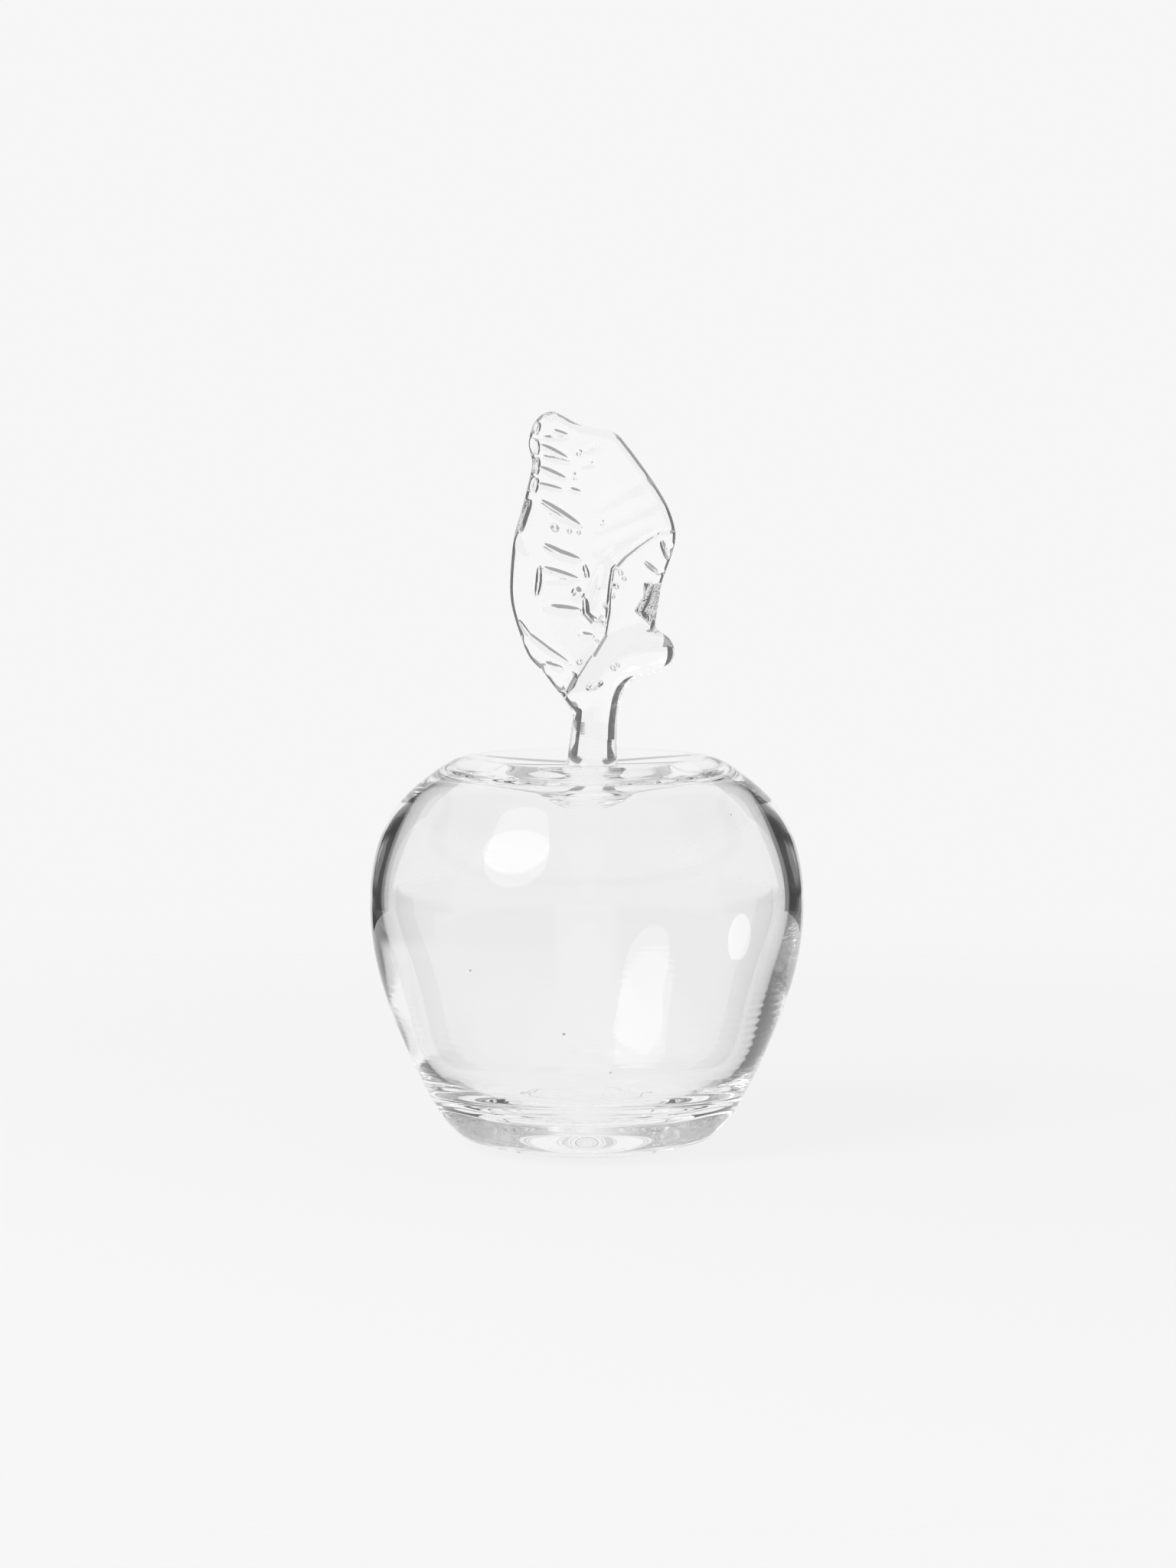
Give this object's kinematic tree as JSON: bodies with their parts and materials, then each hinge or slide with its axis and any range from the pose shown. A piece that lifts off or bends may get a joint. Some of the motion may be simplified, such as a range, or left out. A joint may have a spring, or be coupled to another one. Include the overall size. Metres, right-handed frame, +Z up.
{
  "type": "art glass apple",
  "caption": "Hollow blown clear glass apple with a dimpled top, a drawn glass stem bent to a knob and a pressed veined leaf, an ornament that stands on a ring.",
  "frame": {"origin": "on the table, on the axis of the body, at the middle of the ring that it stands on", "axes": "+Z up along the axis of the body, +X to the right towards the knob of the stem, the face of the leaf looks towards -Y"},
  "size_m": [0.1, 0.1, 0.1699],
  "materials": {
    "blown_glass": "fire-polished clear soda-lime glass, faint chill ripples and seeds",
    "drawn_glass": "fire-polished solid clear glass, drawn by hand",
    "pressed_glass": "clear glass pressed between ribbed jaws, soft edges, small trapped bubbles",
    "broken_glass": "clear glass broken off the punty, rough shell-like chips"
  },
  "bodies": {
    "root": {"blown_body": "blown_glass", "closing_plug": "blown_glass", "stem": "drawn_glass", "leaf": "pressed_glass", "pontil_wad": "broken_glass"}
  },
  "joints": []
}
